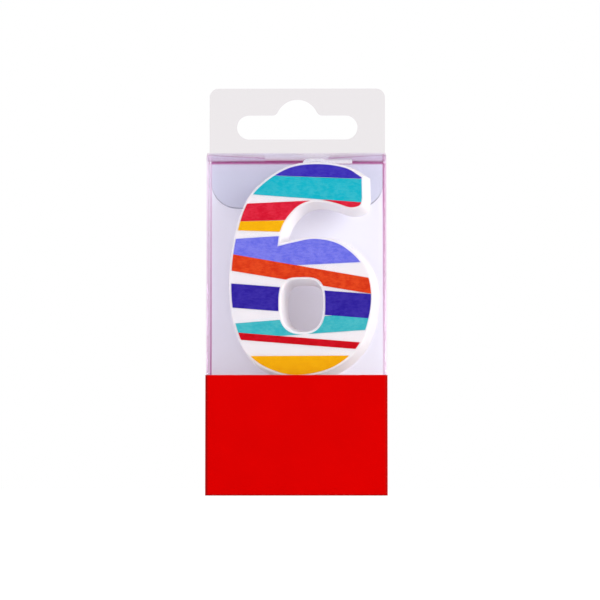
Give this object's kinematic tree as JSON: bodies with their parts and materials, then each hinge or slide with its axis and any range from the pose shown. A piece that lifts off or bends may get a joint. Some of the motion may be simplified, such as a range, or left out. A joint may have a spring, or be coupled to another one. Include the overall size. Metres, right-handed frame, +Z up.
{
  "type": "number candle",
  "caption": "Striped wax numeral candle on a cake pick, held by a folded card in a clear hang box with a hinged tuck lid and a red band round its foot.",
  "frame": {"origin": "on the floor, under the middle of the box", "axes": "+Z up, the front panel and the numeral's face toward -Y, the numeral's right toward +X"},
  "size_m": [0.047, 0.0206, 0.1081],
  "materials": {
    "clear_film": "clear, glossy, faintly violet",
    "red_print": "flat red print under gloss",
    "white_card": "uncoated",
    "white_wax": "satin, slightly translucent",
    "cotton_wick": "waxed",
    "pick_plastic": "moulded",
    "navy_print": "brushed paint",
    "teal_print": "brushed paint",
    "red_stripe_print": "brushed paint",
    "yellow_print": "brushed paint",
    "periwinkle_print": "brushed paint",
    "orange_print": "brushed paint"
  },
  "bodies": {
    "pack": {"front_panel": "clear_film", "back_panel": "clear_film", "left_panel": "clear_film", "right_panel": "clear_film", "seam_flap": "clear_film", "base_panel": "clear_film", "base_tuck": "clear_film", "base_flap_left": "clear_film", "base_flap_right": "clear_film", "red_band": "red_print", "card_support": "white_card", "wax_body": "white_wax", "wick": "cotton_wick", "cake_pick": "pick_plastic", "stripes_navy": "navy_print", "stripes_teal": "teal_print", "stripes_red": "red_stripe_print", "stripes_yellow": "yellow_print", "stripe_periwinkle": "periwinkle_print", "stripe_orange": "orange_print"},
    "lid": {"lid_panel": "clear_film"},
    "tuck": {"tuck_flap": "clear_film"},
    "dust_left": {"dust_flap_left": "clear_film"},
    "dust_right": {"dust_flap_right": "clear_film"}
  },
  "joints": [
    {"name": "lid_hinge", "type": "hinge", "parent": "pack", "child": "lid", "pos_m": [0, -0.00995, 0.08819], "axis": [1, 0, 0], "range_deg": [0, 100]},
    {"name": "tuck_crease", "type": "hinge", "parent": "lid", "child": "tuck", "pos_m": [0, 0.009, 0.08804], "axis": [1, 0, 0], "range_deg": [-70, 0]},
    {"name": "dust_left_crease", "type": "hinge", "parent": "pack", "child": "dust_left", "pos_m": [-0.02315, 0, 0.08778], "axis": [0, -1, 0], "range_deg": [0, 30]},
    {"name": "dust_right_crease", "type": "hinge", "parent": "pack", "child": "dust_right", "pos_m": [0.02315, 0, 0.08778], "axis": [0, 1, 0], "range_deg": [0, 30]}
  ],
  "couplings": [
    {"joint": "tuck_crease", "follows": "lid_hinge", "ratio": -0.7},
    {"joint": "dust_left_crease", "follows": "lid_hinge", "ratio": 0.3},
    {"joint": "dust_right_crease", "follows": "lid_hinge", "ratio": 0.3}
  ]
}
